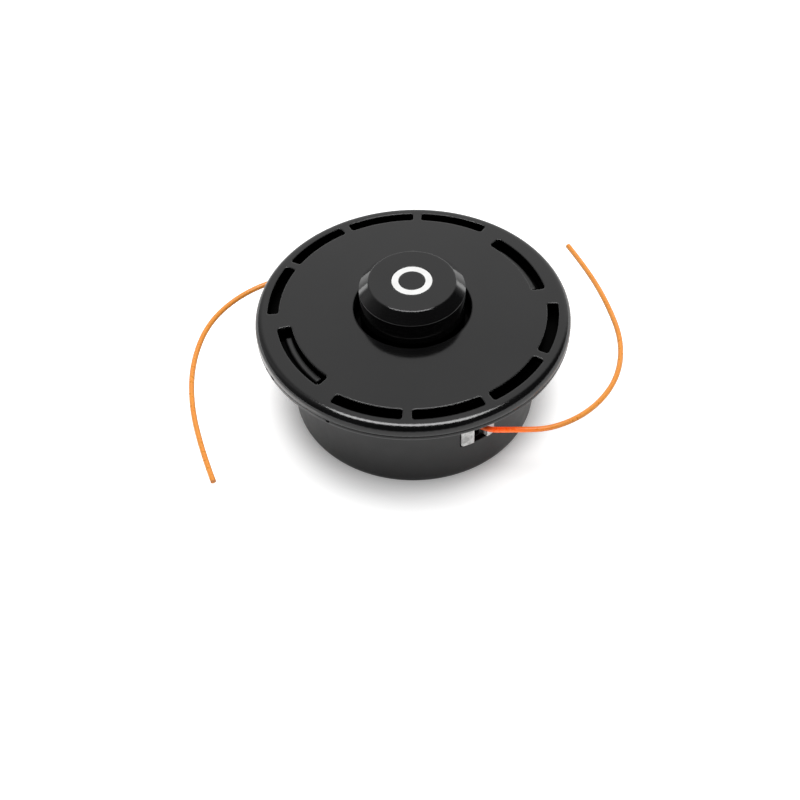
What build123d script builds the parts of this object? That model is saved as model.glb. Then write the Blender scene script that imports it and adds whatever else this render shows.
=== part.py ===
from build123d import *
import os
from math import asin, cos, degrees, pi, radians, sin, sqrt, tan

# Bump feed head of a line trimmer, standing on its machine side with the bump knob up.
# Millimetres, +Z up. The origin is on the head's axis at the base face of the drum, and the front
# line outlet is on the -Y side.

# Overall sizes
head_radius = 65.0
head_height = 51.6
knob_rise = 15.8
bump_travel = 6.0

# Gaps and fits
running_fit = 0.06
side_gap = 0.3
face_gap = 0.1
cut_past = 1.0

# Drum and flange of the housing
flange_reach = 13.0
drum_draft = 0.4
drum_wall = 2.4
floor_thickness = 3.0
base_fillet = 5.0
inner_chamfer = 2.0
flange_thickness = 2.0
flange_draft = 0.35
pocket_count = 8
pocket_depth = 1.2
pocket_gap = 7.0
pocket_margin = 10.0
pocket_rib = 3.0

# Cover: a shallow cap with a rolled rim, whose top rises in a flat cone to the knob's opening
rim_height = 4.8
rim_roll = 3.4
rim_drop = 0.3
opening_rise = 1.8
rim_wall = 2.2
plate_thickness = 2.6
opening_gap = 2.65
edge_round = 0.4
parting_chamfer = 0.3
skirt_gap = 0.2
skirt_wall = 1.8
skirt_height = 3.6
cover_rib_count = 12
cover_rib_thickness = 1.4
cover_rib_gap = 1.5
cover_rib_height = 3.0

# Slots in the cover: two groups of four narrow ones, and a wide latch slot between the groups
slot_gap = 3.15
slot_width = 4.8
slot_span = 28.5
slot_pitch = 32.0
slots_in_group = 4
slot_corner = 1.2
outlet_angle = -62.0
latch_angle = outlet_angle - 90.0
latch_slot_inset = 1.8
latch_slot_width = 6.1
latch_slot_span = 38.0
latch_slot_corner = 1.6

# Latch tongues of the housing, their hooks and the ledge that they catch in the cover
tongue_inset = 0.9
tongue_thickness = 2.0
tongue_span = 30.0
tongue_depth = 2.5
hook_reach = 0.9
hook_height = 1.0
ledge_overlap = 0.5
ledge_thickness = 1.0
ledge_wall = 1.6

# Index notches in the flange's upper edge: the angle from the latch and the width of each
notch_widths = {0.3: 2.4, -4.5: 1.2, 29.5: 1.2}
notch_depth = 1.1
notch_height = 1.2

# Line outlets: a window in the drum wall with a folded sheet eyelet in it
window_sill = 5.2
window_head = 6.6
window_span = 17.7
window_rebate = 1.3
window_gap = 0.69
sheet = 0.9
throat_width = 3.6
throat_depth = 6.0
cheek_roll = 2.4
cheek_stand = 0.3
cheek_corner = 1.6

# Ratchet: lugs on both faces of the spool, and stops on the cover and on the drum's floor
lug_count = 4
lug_span = 6.8
lug_play = 0.6
lug_gap = 1.5
lug_length = 5.0
upper_lug_height = 4.0
lower_lug_height = 4.0
upper_lug_play = 1.0
lower_lug_play = 0.4

# Spool
spool_gap = 1.2
spool_flange = 2.0
core_wall = 3.0
web_thickness = 3.0
sleeve_wall = 2.4
sleeve_end = 22.0
spool_rib_count = 8
spool_rib_thickness = 1.6
spool_rib_root = 0.5
line_notch_width = 2.8
line_notch_depth = 5.0
line_notch_shift = 20.0
line_hole_radius = 1.6
line_hole_rise = 6.0

# Centre post of the housing, and the threaded insert in it
post_wall = 2.3
post_lip = 8.0
insert_bore = 4.4
insert_across_flats = 17.0
insert_top = 24.0
insert_shoulder = 0.585
insert_flange = 2.0
washer_outer_radius = 12.0
washer_hole_gap = 1.0
washer_thickness = 1.5
washer_recess = 2.0
washer_chamfer = 0.3
clip_thickness = 1.2
clip_groove_depth = 0.6
clip_width = 2.0
clip_gap = 44.0
clip_ear_shift = 6.0
clip_ear_radius = 1.7
clip_eye_radius = 0.7

# Return spring and its two washers
spring_wire = 1.6
spring_clearance = 0.7
spring_turns = 4.0
wire_sides = 6
seat_thickness = 0.8
seat_width = 5.0

# Bump knob
knob_radius = 21.75
knob_bevel = 4.09
knob_wall = 3.4
knob_crown = 4.4
knob_flange_reach = 6.25
knob_flange = 2.0
knob_rib = 2.0
knob_edge_round = 0.35
leg_count = 4
leg_width = 6.0
leg_thickness = 1.6
leg_sleeve_gap = 1.54
leg_core_gap = 1.4
leg_hook = 1.0
leg_hook_height = 1.4
ring_outer_radius = 8.2
ring_inner_radius = 5.5
ring_depth = 0.8

# Trimmer line
line_diameter = 2.3
line_sides = 10
winding_gap = 5.0
line_exit_z = 28.4
bend_share = 0.45

# Levels that follow from the sizes above
parting_z = head_height - rim_height
flange_z = parting_z - flange_thickness
rim_z = head_height - rim_drop
opening_z = head_height + opening_rise
ceiling_z = head_height - plate_thickness
spool_top = ceiling_z - upper_lug_height - upper_lug_play
spool_foot = floor_thickness + bump_travel + lower_lug_height + lower_lug_play
winding_foot = spool_foot + spool_flange
winding_height = spool_top - spool_flange - winding_foot
window_bottom = winding_foot + window_sill
window_height = winding_height - window_sill - window_head
seat_z = floor_thickness + seat_thickness
thrust_top = sleeve_end - face_gap
thrust_z = thrust_top - seat_thickness
post_top = insert_top + insert_flange + post_lip

# Radii that follow from the insert outwards
insert_flange_radius = insert_across_flats / sqrt(3) + insert_shoulder
insert_seat_radius = insert_flange_radius + side_gap
post_radius = insert_seat_radius + post_wall
seat_outer_radius = post_radius + seat_width
sleeve_bore = post_radius + running_fit
sleeve_radius = sleeve_bore + sleeve_wall
leg_radius = sleeve_radius + leg_sleeve_gap
leg_tip_radius = leg_radius + leg_thickness + leg_hook
core_bore = leg_tip_radius + leg_core_gap
core_radius = core_bore + core_wall
washer_hole_radius = insert_bore + washer_hole_gap
pocket_inner_radius = washer_outer_radius + pocket_gap

# Radii that follow from the knob
knob_face_radius = knob_radius - knob_bevel
knob_bore = knob_radius - knob_wall
knob_flange_radius = knob_radius + knob_flange_reach
opening_radius = knob_radius + opening_gap
lug_inner_radius = knob_flange_radius + lug_gap
lug_outer_radius = lug_inner_radius + lug_length

# Radii that follow from the head's radius inwards
drum_radius = head_radius - flange_reach
drum_bore = drum_radius - drum_wall
spool_radius = drum_bore - spool_gap
winding_radius = spool_radius - winding_gap
slot_inner_radius = drum_radius + slot_gap
slot_outer_radius = slot_inner_radius + slot_width
latch_slot_inner = drum_radius - latch_slot_inset
latch_slot_outer = latch_slot_inner + latch_slot_width
window_through_span = 2 * degrees(asin((throat_width / 2 + cheek_roll + window_gap) /
                                       (drum_radius - window_rebate)))
tongue_radius = drum_radius - tongue_inset
throat_inner_radius = drum_radius - throat_depth
pocket_outer_radius = drum_radius - pocket_margin

lug_stop = lug_span + lug_play
lug_angles = [360.0 / lug_count * i for i in range(lug_count)]
outlets = {"front": outlet_angle, "back": outlet_angle + 180.0}


def ring_edges(part, radius, z):
    """Circular edges of a part at one radius and height."""
    circles = part.edges().filter_by(GeomType.CIRCLE)
    return [e for e in circles if abs(e.radius - radius) < 0.01 and abs(e.arc_center.Z - z) < 0.01]


def ring_sector(inner, outer, centre, span, corner=0.0):
    """A face between two radii that spans an angle, with rounded corners."""
    with BuildSketch() as sector:
        with BuildLine():
            far = CenterArc((0, 0), outer, centre - span / 2, span)
            near = CenterArc((0, 0), inner, centre - span / 2, span)
            Line(far @ 0, near @ 0)
            Line(far @ 1, near @ 1)
        make_face()
        if corner:
            fillet(sector.vertices(), corner)
    return sector.sketch


def lug_ring(centre_shift):
    """The faces of one ring of lugs, each centred at a shift from the even angles."""
    with BuildSketch() as ring:
        for angle in lug_angles:
            add(ring_sector(lug_inner_radius, lug_outer_radius, angle + centre_shift, lug_span))
    return ring.sketch


def radial_plane(angle, z):
    """A level plane whose X axis points outwards at an angle."""
    return Plane(origin=(0, 0, z), x_dir=(cos(radians(angle)), sin(radians(angle)), 0), z_dir=(0, 0, 1))


def upright_plane(angle):
    """An upright plane through the axis: X points outwards at an angle, and Y is up."""
    a = radians(angle)
    return Plane(origin=(0, 0, 0), x_dir=(cos(a), sin(a), 0), z_dir=(sin(a), -cos(a), 0))


# Housing: drum, flange, centre post, stops, latch tongues and outlet windows in one moulding
clip_z = insert_top + insert_flange + face_gap
hook_top = head_height - tongue_depth
tongue_outer = tongue_radius + tongue_thickness
with BuildPart() as housing:
    with BuildSketch(Plane.XZ):
        with BuildLine():
            Polyline(
                (washer_outer_radius + side_gap, 0),
                (drum_radius - drum_draft, 0),
                (drum_radius, flange_z),
                (head_radius, flange_z),
                (head_radius - flange_draft, parting_z),
                (drum_bore, parting_z),
                (drum_bore - drum_draft, floor_thickness),
                (post_radius, floor_thickness),
                (post_radius, post_top),
                (insert_seat_radius, post_top),
                (insert_seat_radius, insert_top),
                (0, insert_top),
                (0, washer_recess),
                (washer_outer_radius + side_gap, washer_recess),
                close=True,
            )
        make_face()
    revolve(axis=Axis.Z)
    fillet(ring_edges(housing.part, drum_radius - drum_draft, 0), base_fillet)
    chamfer(ring_edges(housing.part, drum_bore - drum_draft, floor_thickness), inner_chamfer)
    chamfer(ring_edges(housing.part, head_radius, flange_z), edge_round)
    # Hexagonal pocket of the insert, and the groove of its clip
    with BuildSketch(Plane.XY.offset(washer_recess)):
        RegularPolygon(insert_across_flats / 2 + face_gap, 6, major_radius=False)
    extrude(amount=insert_top - washer_recess, mode=Mode.SUBTRACT)
    with BuildSketch(Plane.XY.offset(clip_z)):
        Circle(insert_seat_radius + clip_groove_depth)
    extrude(amount=clip_thickness + face_gap, mode=Mode.SUBTRACT)
    # Pockets under the floor leave radial ribs
    with BuildSketch(Plane.XY):
        for i in range(pocket_count):
            middle = (pocket_inner_radius + pocket_outer_radius) / 2
            span = 360.0 / pocket_count - pocket_rib / middle * 180 / pi
            angle = outlet_angle + 360.0 / pocket_count * (i + 0.5)
            add(ring_sector(pocket_inner_radius, pocket_outer_radius, angle, span))
    extrude(amount=pocket_depth, mode=Mode.SUBTRACT)
    # Stops that catch the spool's lower lugs when the knob is pressed
    with BuildSketch(Plane.XY.offset(floor_thickness)):
        add(lug_ring(180.0 / lug_count + lug_stop / 2 + lug_play))
    extrude(amount=lower_lug_height)
    # Latch tongues with hooks, and a core opening in the flange below each hook
    for angle in (latch_angle, latch_angle + 180.0):
        with BuildSketch(upright_plane(angle - tongue_span / 2)):
            with BuildLine():
                Polyline(
                    (tongue_radius, parting_z - flange_thickness / 2),
                    (tongue_outer, parting_z - flange_thickness / 2),
                    (tongue_outer, hook_top - hook_height),
                    (tongue_outer + hook_reach, hook_top - hook_height),
                    (tongue_outer, hook_top),
                    (tongue_radius, hook_top),
                    close=True,
                )
            make_face()
        revolve(axis=Axis.Z, revolution_arc=tongue_span)
        with BuildSketch(Plane.XY.offset(flange_z)):
            add(ring_sector(tongue_outer, latch_slot_outer, angle, tongue_span))
        extrude(amount=flange_thickness, mode=Mode.SUBTRACT)
    # Outlet windows: a rebate for the eyelet's cheeks, and the opening through the wall
    for angle in outlets.values():
        with BuildSketch(Plane.XY.offset(window_bottom)):
            add(ring_sector(drum_radius - window_rebate, drum_radius + cut_past, angle,
                            window_span))
        extrude(amount=window_height, mode=Mode.SUBTRACT)
        with BuildSketch(Plane.XY.offset(window_bottom)):
            add(ring_sector(drum_bore - cut_past, drum_radius, angle, window_through_span))
        extrude(amount=window_height, mode=Mode.SUBTRACT)
    # Index notches in the flange's upper edge
    for half_turn in (0.0, 180.0):
        for shift, width in notch_widths.items():
            with BuildSketch(radial_plane(latch_angle + shift + half_turn, parting_z)):
                with Locations((head_radius, 0)):
                    Rectangle(2 * notch_depth, width)
            extrude(amount=-notch_height, mode=Mode.SUBTRACT)

# Cover: slotted plate with a rolled rim, a locating skirt, stops and latch ledges underneath
skirt_radius = drum_bore - skirt_gap
group_start = outlet_angle - slot_pitch * (slots_in_group - 1) / 2
ledge_inner = tongue_outer + hook_reach - ledge_overlap
ledge_top = hook_top - hook_height - face_gap
with BuildPart() as cover:
    with BuildSketch(Plane.XZ):
        with BuildLine():
            Polyline(
                (opening_radius, ceiling_z),
                (skirt_radius - skirt_wall, ceiling_z),
                (skirt_radius - skirt_wall, ceiling_z - skirt_height),
                (skirt_radius, ceiling_z - skirt_height),
                (skirt_radius, ceiling_z),
                (head_radius - rim_wall, ceiling_z),
                (head_radius - rim_wall, parting_z),
                (head_radius, parting_z),
                (head_radius, rim_z),
                (opening_radius, opening_z),
                close=True,
            )
        make_face()
    revolve(axis=Axis.Z)
    fillet(ring_edges(cover.part, head_radius, rim_z), rim_roll)
    chamfer(ring_edges(cover.part, head_radius, parting_z), parting_chamfer)
    with BuildSketch(Plane.XY.offset(ceiling_z)):
        for half_turn in (0.0, 180.0):
            for i in range(slots_in_group):
                angle = group_start + slot_pitch * i + half_turn
                add(ring_sector(slot_inner_radius, slot_outer_radius, angle, slot_span, slot_corner))
            add(ring_sector(latch_slot_inner, latch_slot_outer, latch_angle + half_turn,
                            latch_slot_span, latch_slot_corner))
    extrude(amount=opening_z - ceiling_z, mode=Mode.SUBTRACT)
    # Stops that catch the spool's upper lugs at rest
    with BuildSketch(Plane.XY.offset(ceiling_z - upper_lug_height)):
        add(lug_ring(lug_stop / 2 + lug_play))
    extrude(amount=upper_lug_height)
    # Ribs between the stops and the skirt
    rib_inner = lug_outer_radius + cover_rib_gap
    rib_outer = skirt_radius - skirt_wall / 2
    with BuildSketch(Plane.XY.offset(ceiling_z - cover_rib_height)):
        with PolarLocations((rib_inner + rib_outer) / 2, cover_rib_count, start_angle=outlet_angle):
            Rectangle(rib_outer - rib_inner, cover_rib_thickness)
    extrude(amount=cover_rib_height)
    # Ledges that the latch hooks hold
    for angle in (latch_angle, latch_angle + 180.0):
        with BuildSketch(upright_plane(angle - tongue_span / 2)):
            with BuildLine():
                Polyline(
                    (latch_slot_outer, ceiling_z),
                    (latch_slot_outer, ledge_top),
                    (ledge_inner, ledge_top),
                    (ledge_inner, ledge_top - ledge_thickness),
                    (latch_slot_outer + ledge_wall, ledge_top - ledge_thickness),
                    (latch_slot_outer + ledge_wall, ceiling_z),
                    close=True,
                )
            make_face()
        revolve(axis=Axis.Z, revolution_arc=tongue_span)


def make_eyelet(angle):
    """Folded sheet guide: two walls along the throat, rolled out into cheeks, and a floor between."""
    height = window_height - 2 * side_gap
    base_z = window_bottom + side_gap
    cheek_face = drum_radius + cheek_stand
    roll_centre_y = throat_width / 2 + cheek_roll
    roll_centre_x = (cheek_face ** 2 - roll_centre_y ** 2) ** 0.5 - cheek_roll
    cheek_end = radians(window_span / 2) - side_gap / drum_radius
    with BuildPart() as eyelet:
        with BuildSketch(radial_plane(angle, base_z)):
            for side in (-1, 1):
                with BuildLine():
                    Line((throat_inner_radius, side * throat_width / 2),
                         (roll_centre_x, side * throat_width / 2))
                    roll_end = (roll_centre_x + cheek_roll, side * roll_centre_y)
                    RadiusArc((roll_centre_x, side * throat_width / 2), roll_end, side * cheek_roll)
                    cheek_tip = (cheek_face * cos(cheek_end), side * cheek_face * sin(cheek_end))
                    back_tip = ((cheek_face - sheet) * cos(cheek_end),
                                side * (cheek_face - sheet) * sin(cheek_end))
                    back_y = roll_centre_y
                    back_x = ((cheek_face - sheet) ** 2 - back_y ** 2) ** 0.5
                    RadiusArc(roll_end, cheek_tip, -side * cheek_face)
                    Line(cheek_tip, back_tip)
                    RadiusArc(back_tip, (back_x, side * back_y), side * (cheek_face - sheet))
                    RadiusArc((back_x, side * back_y),
                              (roll_centre_x, side * (throat_width / 2 + sheet)),
                              -side * (cheek_roll - sheet))
                    Line((roll_centre_x, side * (throat_width / 2 + sheet)),
                         (throat_inner_radius, side * (throat_width / 2 + sheet)))
                    Line((throat_inner_radius, side * (throat_width / 2 + sheet)),
                         (throat_inner_radius, side * throat_width / 2))
                make_face()
        extrude(amount=height)
        with BuildSketch(radial_plane(angle, base_z)):
            with Locations(((throat_inner_radius + roll_centre_x) / 2, 0)):
                Rectangle(roll_centre_x - throat_inner_radius, throat_width + sheet)
        extrude(amount=sheet)
        tips = eyelet.edges().filter_by(Axis.Z, reverse=True).filter_by(
            lambda e: abs(e.length - sheet) < 0.01 and e.center().Z < base_z + 0.01
            and Vector(e.center().X, e.center().Y, 0).length > drum_radius - sheet)
        fillet(tips, cheek_corner)
    return eyelet


eyelets = {name: make_eyelet(angle) for name, angle in outlets.items()}

# Threaded insert: hexagon body with a round flange on the shoulder in the post
with BuildPart() as arbor_insert:
    with BuildSketch(Plane.XY.offset(washer_recess)):
        RegularPolygon(insert_across_flats / 2, 6, major_radius=False)
    extrude(amount=insert_top - washer_recess)
    with BuildSketch(Plane.XY.offset(insert_top)):
        Circle(insert_flange_radius)
    extrude(amount=insert_flange)
    with BuildSketch(Plane.XY.offset(washer_recess)):
        Circle(insert_bore)
    extrude(amount=insert_top + insert_flange - washer_recess, mode=Mode.SUBTRACT)

# Washer in the recess of the machine side
with BuildPart() as arbor_washer:
    with BuildSketch(Plane.XY.offset(washer_recess - washer_thickness)):
        Circle(washer_outer_radius)
        Circle(washer_hole_radius, mode=Mode.SUBTRACT)
    extrude(amount=washer_thickness)
    chamfer(ring_edges(arbor_washer.part, washer_outer_radius, washer_recess - washer_thickness),
            washer_chamfer)

# Clip that holds the insert down
clip_outer = insert_seat_radius + clip_groove_depth - face_gap
clip_ear_centre = clip_outer - clip_width - clip_ear_radius / 2
with BuildPart() as insert_clip:
    with BuildSketch(Plane.XY.offset(clip_z)):
        add(ring_sector(clip_outer - clip_width, clip_outer, 90.0, 360.0 - clip_gap))
        for side in (-1, 1):
            with PolarLocations(clip_ear_centre, 1,
                                start_angle=-90.0 + side * (clip_gap / 2 + clip_ear_shift)):
                Circle(clip_ear_radius)
                Circle(clip_eye_radius, mode=Mode.SUBTRACT)
    extrude(amount=clip_thickness)

# Lower spring washer on the floor, and the thrust washer under the spool's sleeve
with BuildPart() as spring_washer:
    with BuildSketch(Plane.XY.offset(floor_thickness)):
        Circle(seat_outer_radius)
        Circle(post_radius + side_gap, mode=Mode.SUBTRACT)
    extrude(amount=seat_thickness)
with BuildPart() as thrust_washer:
    with BuildSketch(Plane.XY.offset(thrust_z)):
        Circle(seat_outer_radius)
        Circle(post_radius + side_gap, mode=Mode.SUBTRACT)
    extrude(amount=seat_thickness)

# Return spring with ground ends
spring_radius = post_radius + spring_clearance + spring_wire / 2
spring_length = thrust_z - seat_z
with BuildPart() as return_spring:
    with BuildLine():
        coil = Helix(pitch=spring_length / spring_turns, height=spring_length, radius=spring_radius,
                     center=(0, 0, seat_z))
    with BuildSketch(Plane(origin=coil @ 0, z_dir=coil % 0)):
        RegularPolygon(spring_wire / 2, wire_sides)
    sweep(is_frenet=True)
    split(bisect_by=Plane.XY.offset(seat_z), keep=Keep.TOP)
    split(bisect_by=Plane.XY.offset(thrust_z), keep=Keep.BOTTOM)

# Spool: two flanges on a hollow core, a web with a sleeve on the post, and lugs on both faces
web_z = spool_top - web_thickness
with BuildPart() as spool:
    with BuildSketch(Plane.XZ):
        with BuildLine():
            Polyline(
                (core_bore, spool_foot),
                (spool_radius, spool_foot),
                (spool_radius, spool_foot + spool_flange),
                (core_radius, spool_foot + spool_flange),
                (core_radius, spool_top - spool_flange),
                (spool_radius, spool_top - spool_flange),
                (spool_radius, spool_top),
                (sleeve_bore, spool_top),
                (sleeve_bore, sleeve_end),
                (sleeve_radius, sleeve_end),
                (sleeve_radius, web_z),
                (core_bore, web_z),
                close=True,
            )
        make_face()
    revolve(axis=Axis.Z)
    with BuildSketch(Plane.XY.offset(spool_top)):
        add(lug_ring(-lug_span / 2))
    extrude(amount=upper_lug_height)
    with BuildSketch(Plane.XY.offset(spool_foot - lower_lug_height)):
        add(lug_ring(-lug_span / 2))
    extrude(amount=lower_lug_height)
    # Ribs between the sleeve and the core, clear of the knob's legs
    rib_length = core_bore - sleeve_radius + 2 * spool_rib_root
    with BuildSketch(Plane.XY.offset(sleeve_end)):
        with PolarLocations((sleeve_radius + core_bore) / 2, spool_rib_count,
                            start_angle=180.0 / spool_rib_count):
            Rectangle(rib_length, spool_rib_thickness)
    extrude(amount=web_z - sleeve_end)
    # Windows for the knob's legs
    with BuildSketch(Plane.XY.offset(web_z)):
        with PolarLocations(leg_radius + (leg_thickness + leg_hook) / 2, leg_count):
            Rectangle(leg_thickness + leg_hook + 2 * face_gap, leg_width + 2 * side_gap)
    extrude(amount=web_thickness, mode=Mode.SUBTRACT)
    # Notches in the upper flange that park the line ends, and anchor holes in the core
    with BuildSketch(Plane.XY.offset(spool_top - spool_flange)):
        with PolarLocations(spool_radius, 2, start_angle=outlet_angle + line_notch_shift):
            SlotOverall(2 * line_notch_depth, line_notch_width)
    extrude(amount=spool_flange, mode=Mode.SUBTRACT)
    with BuildSketch(Plane(origin=(0, 0, winding_foot + line_hole_rise), z_dir=(0, 1, 0))):
        Circle(line_hole_radius)
    extrude(amount=core_radius + cut_past, both=True, mode=Mode.SUBTRACT)

# Line winding: both lengths of line as one roll
with BuildPart() as line_winding:
    with BuildSketch(Plane.XY.offset(winding_foot)):
        Circle(winding_radius)
        Circle(core_radius, mode=Mode.SUBTRACT)
    extrude(amount=winding_height)

# Bump knob: a thick-walled cap with a bevelled face, a flange under the cover and snap legs
knob_top = head_height + knob_rise
bevel_foot = knob_top - (knob_radius - knob_face_radius)
crown_z = knob_top - knob_crown
with BuildPart() as bump_knob:
    with BuildSketch(Plane.XZ):
        with BuildLine():
            Polyline(
                (leg_radius, spool_top),
                (knob_flange_radius, spool_top),
                (knob_flange_radius, ceiling_z - side_gap),
                (knob_flange_radius - knob_rib, ceiling_z - side_gap),
                (knob_flange_radius - knob_rib, spool_top + knob_flange),
                (knob_radius, spool_top + knob_flange),
                (knob_radius, bevel_foot),
                (knob_face_radius, knob_top),
                (0, knob_top),
                (0, crown_z),
                (knob_bore - knob_wall, crown_z),
                (knob_bore, crown_z - knob_wall),
                (knob_bore, spool_top + knob_flange),
                (leg_radius, spool_top + knob_flange),
                close=True,
            )
        make_face()
    revolve(axis=Axis.Z)
    fillet(ring_edges(bump_knob.part, knob_face_radius, knob_top), knob_edge_round)
    fillet(ring_edges(bump_knob.part, knob_radius, bevel_foot), knob_edge_round)
    with BuildSketch(Plane.XY.offset(knob_top - ring_depth)):
        Circle(ring_outer_radius)
        Circle(ring_inner_radius, mode=Mode.SUBTRACT)
    extrude(amount=ring_depth, mode=Mode.SUBTRACT)
    # Legs that snap under the spool's web
    for i in range(leg_count):
        with BuildSketch(upright_plane(360.0 / leg_count * i)):
            with BuildLine():
                Polyline(
                    (leg_radius, spool_top + knob_flange),
                    (leg_radius, web_z - leg_hook_height),
                    (leg_radius + leg_thickness, web_z - leg_hook_height),
                    (leg_tip_radius, web_z - face_gap),
                    (leg_radius + leg_thickness, web_z - face_gap),
                    (leg_radius + leg_thickness, spool_top + knob_flange),
                    close=True,
                )
            make_face()
        extrude(amount=leg_width / 2, both=True)

# White ring let into the knob's face
with BuildPart() as knob_ring:
    with BuildSketch(Plane.XY.offset(knob_top - ring_depth)):
        Circle(ring_outer_radius)
        Circle(ring_inner_radius, mode=Mode.SUBTRACT)
    extrude(amount=ring_depth)

# Free line ends. Each route starts in the throat of its eyelet, goes round the cheek and stands out
# level, with a slight droop. The points are plan positions and heights, front end and back end.
front_route = [
    (20.5, -39.0, line_exit_z),
    (24.7, -46.7, line_exit_z),
    (38.5, -47.0, 28.1),
    (54.5, -46.6, 27.6),
    (71.5, -37.2, 27.2),
    (84.0, -20.0, 26.7),
    (89.6, 1.5, 26.2),
    (86.2, 25.5, 25.6),
    (80.2, 48.5, 25.0),
    (73.5, 65.2, 24.5),
]
back_route = [
    (-20.5, 39.0, line_exit_z),
    (-24.7, 46.7, line_exit_z),
    (-38.5, 47.0, 28.1),
    (-56.0, 47.8, 27.6),
    (-74.0, 38.0, 27.2),
    (-88.0, 21.5, 26.7),
    (-94.2, -0.5, 26.2),
    (-92.9, -24.5, 25.6),
    (-86.6, -50.0, 25.0),
    (-80.4, -69.2, 24.5),
]


def bend_radii(route):
    """The largest arcs that the runs beside each point allow."""
    points = [Vector(*p) for p in route]
    radii = []
    for before, corner, after in zip(points, points[1:], points[2:]):
        turn = (corner - before).get_angle(after - corner)
        shorter = min((corner - before).length, (after - corner).length)
        radii.append(bend_share * shorter / tan(radians(turn) / 2))
    return radii


def make_line(route):
    """A plain tube of the line's diameter along straight runs joined by tangent arcs."""
    with BuildPart() as line:
        with BuildLine():
            path = FilletPolyline(*route, radius=bend_radii(route))
        with BuildSketch(Plane(origin=path @ 0, z_dir=path % 0)):
            RegularPolygon(line_diameter / 2, line_sides)
        sweep()
    section = line_sides / 2 * sin(2 * pi / line_sides) * (line_diameter / 2) ** 2
    print("line length", round(path.length, 1), "volume over section times length",
          round(line.part.volume / (section * path.length), 4),
          "radii", [round(r, 1) for r in bend_radii(route)])
    return line


line_right = make_line(front_route)
line_left = make_line(back_route)

os.makedirs("parts", exist_ok=True)
pieces = {
    "housing": housing,
    "cover": cover,
    "eyelet_front": eyelets["front"],
    "eyelet_back": eyelets["back"],
    "arbor_insert": arbor_insert,
    "arbor_washer": arbor_washer,
    "insert_clip": insert_clip,
    "spring_washer": spring_washer,
    "thrust_washer": thrust_washer,
    "return_spring": return_spring,
    "spool": spool,
    "line_winding": line_winding,
    "bump_knob": bump_knob,
    "knob_ring": knob_ring,
    "line_right": line_right,
    "line_left": line_left,
}
for name, piece in pieces.items():
    piece.part.label = name
    export_step(piece.part, f"parts/{name}.step")
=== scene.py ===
from math import cos, pi, radians, sin

import bmesh
import bpy
from mathutils import Matrix, Vector


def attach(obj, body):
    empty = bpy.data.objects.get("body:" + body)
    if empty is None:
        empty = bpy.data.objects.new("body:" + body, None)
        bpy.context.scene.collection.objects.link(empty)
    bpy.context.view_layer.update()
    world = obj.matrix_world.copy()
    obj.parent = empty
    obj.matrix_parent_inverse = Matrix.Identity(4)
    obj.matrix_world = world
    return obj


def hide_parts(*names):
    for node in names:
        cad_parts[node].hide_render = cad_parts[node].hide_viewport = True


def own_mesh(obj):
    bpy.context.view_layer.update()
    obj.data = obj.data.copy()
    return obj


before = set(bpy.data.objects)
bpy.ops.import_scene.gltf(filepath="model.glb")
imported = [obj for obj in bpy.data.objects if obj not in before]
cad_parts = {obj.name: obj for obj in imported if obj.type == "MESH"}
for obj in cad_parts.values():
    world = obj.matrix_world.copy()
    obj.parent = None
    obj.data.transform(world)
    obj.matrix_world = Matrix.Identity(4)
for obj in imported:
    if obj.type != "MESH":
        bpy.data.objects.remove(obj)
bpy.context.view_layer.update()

# Looks of a bump feed trimmer head. Metres, +Z up, in the frame of the solids: the head stands on its
# machine side with the bump knob up, and the front line outlet faces -Y.

scene = bpy.context.scene
mm = 0.001


# Camera: looks down at 48 degrees from the front, with a small roll
view_down = radians(48.38)
view_roll = radians(-2.12)
camera_place = (-0.00656, -0.38278, 0.42628)
lens_length = 58.49
forward = Vector((0, cos(view_down), -sin(view_down)))
upright = Vector((0, sin(view_down), cos(view_down)))
level = Vector((1, 0, 0))
image_right = cos(view_roll) * level + sin(view_roll) * upright
image_up = cos(view_roll) * upright - sin(view_roll) * level
camera_data = bpy.data.cameras.new("camera")
camera_data.lens = lens_length
camera_data.sensor_width = 36.0
camera_data.clip_start = 0.01
camera = bpy.data.objects.new("camera", camera_data)
placing = Matrix((image_right, image_up, -forward)).transposed().to_4x4()
placing.translation = camera_place
camera.matrix_world = placing
scene.collection.objects.link(camera)
scene.camera = camera
scene.view_settings.view_transform = "Standard"


# Sizes of the solids that the materials go by
cone_top = 53.4 * mm
cone_inner = 24.4 * mm
rim_top = 51.3 * mm
flange_radius = 65.0 * mm
cone_slope = (cone_top - rim_top) / (flange_radius - cone_inner)
parting_height = 46.8 * mm
notch_floor = 45.6 * mm
tongue_top = 48.6 * mm
knob_edge = 66.0 * mm
outlet_angle = -62.0

# Index notches in the housing's flange, painted dark inside as shade: the angle of each and half its
# width, in degrees
index_notches = [(-151.7, 1.1), (-156.5, 0.57), (-122.5, 0.57)]


# Materials
plastic_ior = 1.6
black_dark = (0.0030, 0.0030, 0.0032)
black_light = (0.0045, 0.0045, 0.0047)
deep_shade = (0.001, 0.001, 0.001)
parting_shade = 0.85


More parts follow.
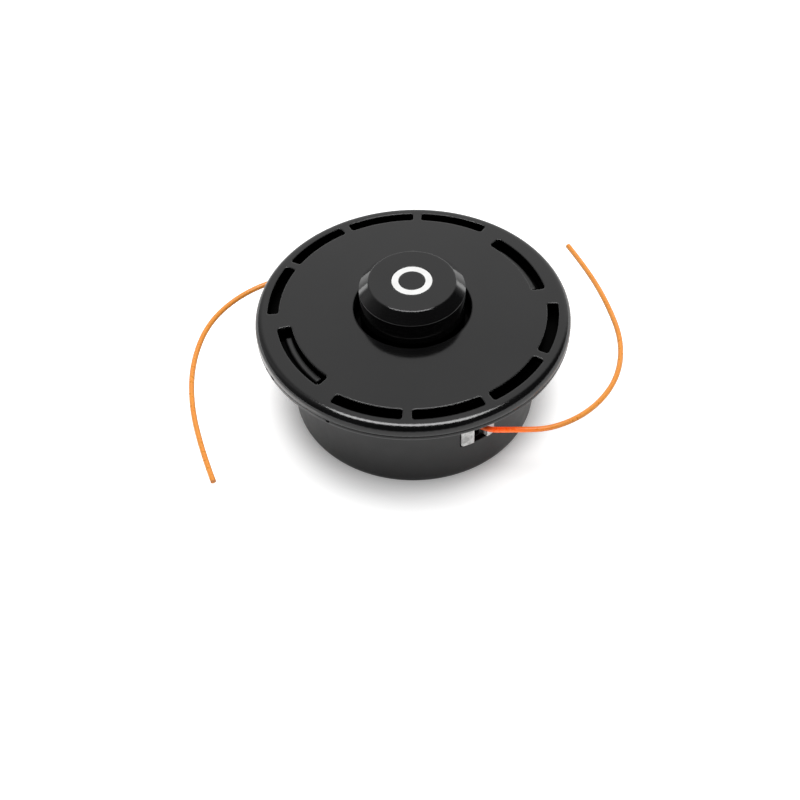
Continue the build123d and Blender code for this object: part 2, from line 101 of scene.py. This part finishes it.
class Nodes:
    """A node tree, with short ways to add and link nodes. Patterns follow its place output."""

    def __init__(self, tree, coordinates):
        self.tree = tree
        self.place = self.add("ShaderNodeTexCoord").outputs[coordinates]

    def add(self, kind, **settings):
        node = self.tree.nodes.new(kind)
        for key, value in settings.items():
            setattr(node, key, value)
        return node

    def link(self, output, socket):
        self.tree.links.new(output, socket)

    def noise(self, scale, detail=3.0, roughness=0.5, vector=None):
        node = self.add("ShaderNodeTexNoise")
        node.inputs["Scale"].default_value = scale
        node.inputs["Detail"].default_value = detail
        node.inputs["Roughness"].default_value = roughness
        self.link(vector or self.place, node.inputs["Vector"])
        return node.outputs["Fac"]

    def math(self, operation, first, second=0.0):
        node = self.add("ShaderNodeMath", operation=operation)
        for socket, value in zip(node.inputs, (first, second)):
            if isinstance(value, (int, float)):
                socket.default_value = value
            else:
                self.link(value, socket)
        return node.outputs["Value"]

    def between(self, factor, low, high, from_low=0.3, from_high=0.7):
        """Map a pattern to a range of values."""
        node = self.add("ShaderNodeMapRange")
        self.link(factor, node.inputs["Value"])
        ends = {"From Min": from_low, "From Max": from_high, "To Min": low, "To Max": high}
        for key, value in ends.items():
            node.inputs[key].default_value = value
        return node.outputs["Result"]

    def tint(self, factor, *stops):
        """Map a pattern to colours, each stop a place and a colour."""
        node = self.add("ShaderNodeValToRGB")
        ramp = node.color_ramp
        while len(ramp.elements) < len(stops):
            ramp.elements.new(0.5)
        for element, (at, colour) in zip(ramp.elements, stops):
            element.position = at
            element.color = (*colour, 1.0)
        self.link(factor, node.inputs["Fac"])
        return node.outputs["Color"]

    def parts(self, vector=None):
        """The X, Y and Z of the place or of another vector."""
        node = self.add("ShaderNodeSeparateXYZ")
        self.link(vector or self.place, node.inputs["Vector"])
        return node.outputs["X"], node.outputs["Y"], node.outputs["Z"]

    def around_axis(self, middle=(0, 0, 0)):
        """Radius, angle and height of each point about the head's axis, or a line beside it."""
        moved = self.add("ShaderNodeVectorMath", operation="SUBTRACT")
        self.link(self.place, moved.inputs[0])
        moved.inputs[1].default_value = middle
        x, y, z = self.parts(moved.outputs["Vector"])
        flat = self.add("ShaderNodeCombineXYZ")
        self.link(x, flat.inputs["X"])
        self.link(y, flat.inputs["Y"])
        length = self.add("ShaderNodeVectorMath", operation="LENGTH")
        self.link(flat.outputs["Vector"], length.inputs[0])
        return length.outputs["Value"], self.math("ARCTAN2", y, x), z

    def ring_vector(self, ring_scale, turn_scale, height_scale=0.0):
        """A vector that runs quickly across rings and slowly along them, for turned marks."""
        radius, angle, height = self.around_axis()
        joined = self.add("ShaderNodeCombineXYZ")
        self.link(self.times(radius, ring_scale), joined.inputs["X"])
        self.link(self.times(angle, turn_scale), joined.inputs["Y"])
        self.link(self.times(height, height_scale), joined.inputs["Z"])
        return joined.outputs["Vector"]

    def within(self, value, low, high):
        """1 above the high value, 0 below the low one, with a soft step between."""
        node = self.add("ShaderNodeMapRange", interpolation_type="SMOOTHSTEP")
        self.link(value, node.inputs["Value"])
        node.inputs["From Min"].default_value = low
        node.inputs["From Max"].default_value = high
        return node.outputs["Result"]

    def short_of(self, value, low, high):
        """1 below the low value, 0 above the high one."""
        return self.math("SUBTRACT", 1.0, self.within(value, low, high))

    def times(self, first, second):
        return self.math("MULTIPLY", first, second)

    def rounded(self, radius):
        """The small rounding that a moulded edge has."""
        node = self.add("ShaderNodeBevel", samples=6)
        if isinstance(radius, float):
            node.inputs["Radius"].default_value = radius
        else:
            self.link(radius, node.inputs["Radius"])
        return node.outputs["Normal"]

    def blend(self, factor, first, second):
        """Mix two colours or values."""
        node = self.add("ShaderNodeMix", data_type="RGBA")
        self.link(factor, node.inputs["Factor"])
        for socket, value in ((node.inputs[6], first), (node.inputs[7], second)):
            if isinstance(value, tuple):
                socket.default_value = (*value, 1.0)
            else:
                self.link(value, socket)
        return node.outputs[2]

    def bump(self, height, distance, strength=1.0, under=None):
        node = self.add("ShaderNodeBump")
        node.inputs["Strength"].default_value = strength
        node.inputs["Distance"].default_value = distance
        self.link(height, node.inputs["Height"])
        if under:
            self.link(under, node.inputs["Normal"])
        return node.outputs["Normal"]


class Material(Nodes):
    """A new material with its shader."""

    def __init__(self, name):
        self.material = bpy.data.materials.new(name)
        self.material.use_nodes = True
        super().__init__(self.material.node_tree, "Object")
        self.shader = self.tree.nodes["Principled BSDF"]

    def finish(self, colour=None, roughness=None, normal=None, **fixed):
        for socket, value in (("Base Color", colour), ("Roughness", roughness), ("Normal", normal)):
            if value is not None:
                self.link(value, self.shader.inputs[socket])
        for key, value in fixed.items():
            self.shader.inputs[key.replace("_", " ")].default_value = value
        return self.material


def moulded_plastic(name, dark, light, gloss, satin, grain, wave, edge, edge_above=None):
    """Black moulded plastic: a slight cloud in its colour and gloss, fine grain and a slow waviness,
    with its edges rounded, or only those above a height."""
    n = Material(name)
    if edge_above:
        radius, angle, height = n.around_axis()
        edge = n.times(n.within(height, edge_above, edge_above + 1 * mm), edge)
    wavy = n.bump(n.noise(90, detail=1), wave, under=n.rounded(edge))
    return n, n.finish(
        colour=n.tint(n.noise(60, detail=4), (0.35, dark), (0.65, light)),
        roughness=n.between(n.noise(140, detail=5, roughness=0.6), gloss, satin),
        normal=n.bump(n.noise(grain, detail=2), 0.004 * mm, under=wavy),
        IOR=plastic_ior)


def shade_inside(n, inside):
    """Paint the part of a moulding that lies inside the head black, as painted deep shade: an almost
    black base at full metallic.
    """
    outside = n.shader.inputs["Base Color"].links[0].from_socket
    n.link(n.blend(inside, outside, deep_shade), n.shader.inputs["Base Color"])
    n.link(inside, n.shader.inputs["Metallic"])


def drum_plastic():
    """The housing: semi-gloss outside, with painted black shade under the cover, in the notches and
    along the parting, and a painted grey highlight along the flange's lower edge."""
    n, material = moulded_plastic("drum_plastic", black_dark, black_light, 0.30, 0.40, 2200,
                                  0.03 * mm, 1.0 * mm)
    radius, angle, height = n.around_axis()
    # Painted shade: black under the cover, along the parting and in the index notches
    above_notch_floor = n.within(height, notch_floor - 0.15 * mm, notch_floor)
    below_tongue_top = n.short_of(height, tongue_top - 0.4 * mm, tongue_top)
    inward = n.short_of(radius, flange_radius - 0.6 * mm, flange_radius - 0.45 * mm)
    under_cover = n.times(n.times(above_notch_floor, below_tongue_top), inward)
    near_parting = n.within(height, parting_height - 1.0 * mm, parting_height - 0.05 * mm)
    below_parting = n.short_of(height, parting_height + 0.1 * mm, parting_height + 0.2 * mm)
    parting = n.times(n.times(near_parting, parting_shade), below_parting)
    shade = n.math("MAXIMUM", under_cover, parting)
    in_notch_height = n.times(above_notch_floor, below_parting)
    # Painted shade in each index notch and in its twin a half turn on
    for notch_angle, half_width in index_notches:
        for half_turn in (0, 180):
            middle = (notch_angle + half_turn + 180) % 360 - 180
            away = n.math("ABSOLUTE", n.math("SUBTRACT", angle, radians(middle)))
            cut = n.short_of(away, radians(half_width), radians(half_width + 0.1))
            shade = n.math("MAXIMUM", shade, n.times(cut, in_notch_height))
    shade_inside(n, shade)
    # Painted highlight: a grey line along the flange's lower edge, where the floor would reflect
    painted_edge_highlight = n.times(n.within(radius, flange_radius - 0.8 * mm, flange_radius - 0.4 * mm),
                  n.short_of(height, notch_floor - 0.4 * mm, notch_floor))
    black = n.shader.inputs["Base Color"].links[0].from_socket
    n.link(n.blend(painted_edge_highlight, black, (0.11, 0.11, 0.11)), n.shader.inputs["Base Color"])
    return material


def knob_plastic():
    """The bump knob: gloss black on its cap, and painted black shade below the cover."""
    n, material = moulded_plastic("knob_plastic", (0.0028, 0.0028, 0.0030), (0.0042, 0.0042, 0.0044),
                                  0.06, 0.10, 2600, 0.01 * mm, 1.0 * mm, edge_above=knob_edge - 1 * mm)
    radius, angle, height = n.around_axis()
    # Painted shade: black below the cover
    shade_inside(n, n.short_of(height, cone_top - 1.4 * mm, cone_top + 0.6 * mm))
    return material


def swirled_cover():
    """The cover: glossy black with faint swirl marks from wiping, and painted black shade in its slots
    and below, and along the parting.
    """
    n = Material("cover_plastic")
    cloud = n.noise(45, detail=4)
    swirl = n.noise(1.0, detail=3, vector=n.ring_vector(900, 3.0))
    marks = n.noise(110, detail=5, roughness=0.65)
    wavy = n.bump(n.noise(70, detail=1), 0.02 * mm, under=n.rounded(0.9 * mm))
    scratched = n.bump(swirl, 0.0012 * mm, under=wavy)
    normal = n.bump(n.noise(2500, detail=2), 0.003 * mm, under=scratched)
    wiped = n.math("ADD", n.times(swirl, 0.4), n.times(marks, 0.6))
    material = n.finish(
        colour=n.tint(cloud, (0.35, black_dark), (0.65, black_light)),
        roughness=n.between(wiped, 0.10, 0.17),
        normal=normal,
        IOR=plastic_ior)
    # Painted shade: black in the slots, below the top and along the parting
    radius, angle, height = n.around_axis()
    fall = n.times(n.math("SUBTRACT", radius, cone_inner), cone_slope)
    below_top = n.math("SUBTRACT", n.math("SUBTRACT", cone_top, fall), height)
    inward = n.short_of(radius, flange_radius - 3.1 * mm, flange_radius - 2.7 * mm)
    in_slots = n.times(n.within(below_top, 0.5 * mm, 1.0 * mm), inward)
    near_parting = n.short_of(height, parting_height + 0.05 * mm, parting_height + 0.4 * mm)
    shade_inside(n, n.math("MAXIMUM", in_slots, n.times(near_parting, parting_shade)))
    return material


def white_ring():
    """Plain white moulded ring with a slight cast and soft grain."""
    n = Material("white_plastic")
    return n.finish(
        colour=n.tint(n.noise(300, detail=4), (0.3, (0.80, 0.80, 0.79)), (0.7, (0.88, 0.88, 0.875))),
        roughness=n.between(n.noise(500), 0.35, 0.5),
        normal=n.bump(n.noise(3000, detail=2), 0.006 * mm))


def plated_sheet():
    """Bright plated sheet with drawing marks up and down its cheeks, and painted dark shade inside the
    throat.
    """
    n = Material("bright_sheet")
    radius, angle, height = n.around_axis()
    lines = n.add("ShaderNodeCombineXYZ")
    n.link(n.times(angle, 260), lines.inputs["X"])
    n.link(n.times(height, 300), lines.inputs["Y"])
    n.link(n.times(radius, 2600), lines.inputs["Z"])
    drawn = n.noise(1.0, detail=3, vector=lines.outputs["Vector"])
    bright = n.tint(n.noise(420, detail=3), (0.35, (0.55, 0.55, 0.54)), (0.6, (0.93, 0.93, 0.92)))
    # Painted shade inside the throat
    throat = n.short_of(radius, 50.4 * mm, 51.4 * mm)
    return n.finish(
        colour=n.blend(throat, bright, (0.02, 0.02, 0.02)),
        roughness=n.between(drawn, 0.36, 0.50),
        normal=n.bump(drawn, 0.01 * mm),
        Metallic=0.5)


def turned_steel(name, dark, light, gloss, satin, ring_scale):
    """Steel with fine rings from the lathe or the die."""
    n = Material(name)
    rings = n.noise(1.0, detail=3, vector=n.ring_vector(ring_scale, 1.5, ring_scale / 3))
    return n.finish(
        colour=n.tint(n.noise(250, detail=5), (0.3, dark), (0.7, light)),
        roughness=n.between(rings, gloss, satin),
        normal=n.bump(rings, 0.006 * mm),
        Metallic=1.0)


def nylon_line():
    """Translucent orange nylon; near the drum it is painted a deeper red and has a painted glow,
    though it is no lamp.
    """
    n = Material("orange_line")
    radius, angle, height = n.around_axis()
    # Painted light: a deeper red colour and a glow near the drum, fading outwards
    free = n.within(radius, 50 * mm, 62 * mm)
    lit = n.blend(n.within(radius, 56 * mm, 76 * mm), (1.0, 0.10, 0.015), (0.03, 0.01, 0.002))
    painted_glow = n.blend(n.within(radius, 53.5 * mm, 57 * mm), (0.0, 0.0, 0.0), lit)
    n.link(painted_glow, n.shader.inputs["Emission Color"])
    pale = n.tint(n.noise(160, detail=3), (0.3, (0.97, 0.35, 0.050)), (0.7, (1.0, 0.39, 0.062)))
    return n.finish(
        colour=n.blend(free, (1.0, 0.10, 0.012), pale),
        roughness=n.between(n.noise(700, detail=3), 0.24, 0.38),
        Transmission_Weight=0.15,
        IOR=1.5,
        Emission_Strength=0.5)


wound_pitch = 2.418 * mm


def wound_line():
    """The wound line: the same nylon, dense, with the lay of its turns as fine ridges, and its outer
    turns painted dark as shade.
    """
    n = Material("wound_line")
    radius, angle, height = n.around_axis()
    turn = n.math("SINE", n.times(height, 2 * pi / wound_pitch))
    streak = n.noise(1.0, detail=3, vector=n.ring_vector(300, 4.0, 1200))
    bright = n.tint(streak, (0.3, (0.80, 0.17, 0.02)), (0.7, (0.95, 0.26, 0.035)))
    # Painted shade on the outermost turns
    outer = n.within(radius, 42.6 * mm, 43.1 * mm)
    return n.finish(
        colour=n.blend(outer, bright, (0.02, 0.006, 0.003)),
        roughness=n.between(streak, 0.3, 0.45),
        normal=n.bump(turn, 0.05 * mm))


plastic = {
    "cover": swirled_cover(),
    "drum": drum_plastic(),
    "knob": knob_plastic(),
    "spool": moulded_plastic("spool_plastic", (0.022, 0.022, 0.023), (0.032, 0.032, 0.033),
                             0.42, 0.55, 1800, 0.03 * mm, 0.3 * mm)[1],
}
steel = {
    "turned": turned_steel("turned_steel", (0.42, 0.42, 0.43), (0.58, 0.58, 0.59), 0.25, 0.42, 2600),
    "wire": turned_steel("spring_steel", (0.24, 0.24, 0.25), (0.36, 0.36, 0.37), 0.28, 0.45, 1800),
}
node_finish = {
    "housing": plastic["drum"],
    "cover": plastic["cover"],
    "bump_knob": plastic["knob"],
    "knob_ring": white_ring(),
    "eyelet_front": plated_sheet(),
    "arbor_insert": steel["turned"],
    "arbor_washer": steel["turned"],
    "spring_washer": steel["turned"],
    "thrust_washer": steel["turned"],
    "insert_clip": steel["wire"],
    "return_spring": steel["wire"],
    "spool": plastic["spool"],
    "line_winding": wound_line(),
}
node_finish["eyelet_back"] = node_finish["eyelet_front"]
for node, material in node_finish.items():
    for slot in bpy.data.objects[node].material_slots:
        slot.material = material


# Free line ends: the routes of the solids, with single points moved by under 1 mm to the photo's
# course, and the left end cut a little shorter
line_diameter = 2.3 * mm
front_route = [
    (20.5, -39.0, 28.4), (24.7, -46.7, 28.4), (38.5, -47.2, 28.1), (54.6, -47.1, 27.6),
    (71.6, -37.5, 27.2), (84.2, -20.4, 26.7), (89.1, 1.5, 26.2), (86.0, 25.5, 25.6),
    (79.9, 48.5, 25.0), (73.3, 65.2, 24.5),
]
back_route = [
    (-20.5, 39.0, 28.4), (-24.7, 46.7, 28.4), (-38.5, 47.0, 28.1), (-56.2, 47.8, 27.6),
    (-74.8, 38.8, 27.2), (-88.7, 22.1, 26.7), (-94.1, -0.5, 26.2), (-93.1, -24.5, 25.6),
    (-86.6, -50.0, 25.0), (-81.1, -65.2, 24.6),
]
line_material = nylon_line()


def lay_line(name, node, route):
    curve = bpy.data.curves.new(name, "CURVE")
    curve.dimensions = "3D"
    spline = curve.splines.new("NURBS")
    spline.points.add(len(route) - 1)
    for point, place in zip(spline.points, route):
        point.co = (*(value * mm for value in place), 1.0)
    spline.order_u = 3
    spline.use_endpoint_u = True
    spline.resolution_u = 14
    curve.bevel_depth = line_diameter / 2
    curve.bevel_resolution = 6
    curve.use_fill_caps = True
    curve.materials.append(line_material)
    line = bpy.data.objects.new(name, curve)
    scene.collection.objects.link(line)
    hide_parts(node)
    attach(line, "head")


lay_line("front_line", "line_right", front_route)
lay_line("back_line", "line_left", back_route)


def add_piece(name, shape, material, body):
    """Turn a bmesh into a piece that rides on a body."""
    mesh = bpy.data.meshes.new(name)
    shape.to_mesh(mesh)
    shape.free()
    mesh.materials.append(material)
    piece = bpy.data.objects.new(name, mesh)
    scene.collection.objects.link(piece)
    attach(piece, body)
    return piece


# Lip that carries each eyelet's near cheek on over its roll to the throat: its radii, its heights,
# and in degrees the angle from the outlet at which it starts and its width
lip_inner, lip_outer = 52.0, 52.34
lip_bottom, lip_top = 20.9, 35.1
lip_start = -4.75
lip_width = 2.55
for side_name, half_turn in (("front", 0.0), ("back", 180.0)):
    lip = bmesh.new()
    first = radians(outlet_angle + half_turn + lip_start)
    outline = [(lip_inner, lip_bottom), (lip_outer, lip_bottom),
               (lip_outer, lip_top), (lip_inner, lip_top)]
    corners = [lip.verts.new((radius * cos(first) * mm, radius * sin(first) * mm, height * mm))
               for radius, height in outline]
    end_face = lip.faces.new(corners)
    bmesh.ops.spin(lip, geom=[end_face, *end_face.edges, *end_face.verts], cent=(0, 0, 0),
                   axis=(0, 0, 1), angle=radians(lip_width), steps=5, use_merge=False)
    bmesh.ops.recalc_face_normals(lip, faces=lip.faces)
    add_piece(f"eyelet_lip_{side_name}", lip, node_finish["eyelet_front"], "head")

# Return spring: the solid's coil as a piece with a mesh of its own. The real spring shortens towards
# its seat while the knob is pressed
coil = bmesh.new()
coil.from_mesh(bpy.data.objects["return_spring"].data)
bmesh.ops.remove_doubles(coil, verts=coil.verts, dist=0.00001 * mm)
spring_coil = add_piece("spring_coil", coil, steel["wire"], "head")
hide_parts("return_spring")
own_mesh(spring_coil)

# Thread in the arbor insert: one ridge wound left-handed up the bore, as radius and height
thread_pitch = 1.25 * mm
thread_foot = 2.6 * mm
thread_steps = 28
turns = 17
section = [(4.42, 0.0), (4.15, 0.36), (4.15, 0.52), (4.42, 0.88)]
thread = bmesh.new()
corners = [thread.verts.new((radius * mm, 0, height * mm + thread_foot)) for radius, height in section]
edges = [thread.edges.new(pair) for pair in zip(corners, corners[1:])]
bmesh.ops.spin(thread, geom=corners + edges, cent=(0, 0, 0), axis=(0, 0, 1),
               dvec=(0, 0, thread_pitch / thread_steps), angle=-2 * pi * turns,
               steps=turns * thread_steps, use_merge=False)
bmesh.ops.remove_doubles(thread, verts=thread.verts, dist=0.00001 * mm)
bmesh.ops.recalc_face_normals(thread, faces=thread.faces)
add_piece("arbor_thread_ridge", thread, steel["turned"], "head")


# Floor: its own light to the eye and in reflections everywhere, to the eye alone clear of the head as
# painted light that narrows the head's shadow, and in reflections alone at the left as a painted
# highlight on the rim
floor_glow = 0.2
clear_floor_glow = 0.44
left_floor_glow = 1.4


def floor_material():
    """Pale paper that keeps the head's shadow, with enough of its own light to read as white; painted
    light narrows that shadow, and a painted glow at the left is seen only in reflections.
    """
    n = Material("floor_paper")
    n.shader.inputs["Specular IOR Level"].default_value = 0.1
    paper = n.tint(n.noise(400, detail=3), (0.3, (0.80, 0.80, 0.80)), (0.7, (0.82, 0.82, 0.82)))
    n.finish(colour=paper, Roughness=0.9)
    path = n.add("ShaderNodeLightPath").outputs
    reflected = n.math("MAXIMUM", path["Is Glossy Ray"], path["Is Transmission Ray"])
    seen = n.math("MAXIMUM", path["Is Camera Ray"], reflected)
    radius, angle, height = n.around_axis(middle=(0, 7 * mm, 0))
    # Painted light: extra glow to the eye alone away from the head, which narrows its shadow
    clear_of_head = n.times(n.within(radius, 50 * mm, 68 * mm), path["Is Camera Ray"])
    x, y, z = n.parts()
    # Painted reflection: a glow that only glossy rays see, to the left of the head
    leftward = n.times(x, -1.0)
    left_strip = n.math("SUBTRACT", n.within(leftward, 80 * mm, 105 * mm),
                        n.within(leftward, 200 * mm, 250 * mm))
    beside_head = n.math("SUBTRACT", n.within(y, -110 * mm, -70 * mm), n.within(y, 15 * mm, 50 * mm))
    lit_left = n.times(n.times(left_strip, beside_head), path["Is Glossy Ray"])
    own_light = n.math("ADD", n.times(seen, floor_glow), n.times(clear_of_head, clear_floor_glow))
    glow = n.add("ShaderNodeEmission")
    glow.inputs["Color"].default_value = (1, 1, 1, 1)
    n.link(n.math("ADD", own_light, n.times(lit_left, left_floor_glow)), glow.inputs["Strength"])
    lit_paper = n.add("ShaderNodeAddShader")
    n.link(n.shader.outputs["BSDF"], lit_paper.inputs[0])
    n.link(glow.outputs["Emission"], lit_paper.inputs[1])
    n.link(lit_paper.outputs["Shader"], n.tree.nodes["Material Output"].inputs["Surface"])
    return n.material


floor_shape = bmesh.new()
bmesh.ops.create_grid(floor_shape, x_segments=1, y_segments=1, size=3.0)
floor_mesh = bpy.data.meshes.new("floor")
floor_shape.to_mesh(floor_mesh)
floor_shape.free()
floor_mesh.materials.append(floor_material())
floor = bpy.data.objects.new("floor", floor_mesh)
scene.collection.objects.link(floor)

# Soft box overhead
soft_box_place = Vector((0.03, -0.02, 1.25))
soft_box_turn = radians(-18)
soft_box = bpy.data.lights.new("soft_box", "AREA")
soft_box.shape = "RECTANGLE"
soft_box.size = 1.10
soft_box.size_y = 0.48
soft_box.energy = 14.3
soft_box_object = bpy.data.objects.new("soft_box", soft_box)
soft_box_object.matrix_world = (Matrix.Translation(soft_box_place)
                                @ Matrix.Rotation(soft_box_turn, 4, "Z"))
scene.collection.objects.link(soft_box_object)

# World: a bright wall behind the head that ends to the right and fades to the left, a dark room in
# front, and a low horizon all round that is brighter on both sides. The eye sees it white.
# Brightness by the angle from straight behind the head, in degrees, positive to the right
room = [(-180, 0.02), (-110, 0.05), (-80, 0.18), (-64, 0.42), (-52, 0.32), (-44, 0.34), (-18, 0.75),
        (42, 0.75), (52, 0.55), (60, 0.20), (68, 0.03), (180, 0.02)]
horizon_front, horizon_side = 0.95, 2.5
horizon_low, horizon_high = radians(2), radians(6)

world = bpy.data.worlds.new("studio")
scene.world = world
world.use_nodes = True
n = Nodes(world.node_tree, "Generated")
x, y, z = n.parts()
bearing = n.between(n.math("ARCTAN2", x, y), 0.0, 1.0, from_low=-pi, from_high=pi)
walls = n.tint(bearing, *(((angle + 180) / 360, (value, value, value)) for angle, value in room))
horizon = n.between(n.math("ABSOLUTE", x), horizon_front, horizon_side, from_low=0.5, from_high=0.65)
around = n.blend(n.within(z, sin(horizon_low), sin(horizon_high)), horizon, walls)
eye = n.add("ShaderNodeLightPath").outputs["Is Camera Ray"]
n.link(n.blend(eye, around, (1, 1, 1)), n.tree.nodes["Background"].inputs["Color"])
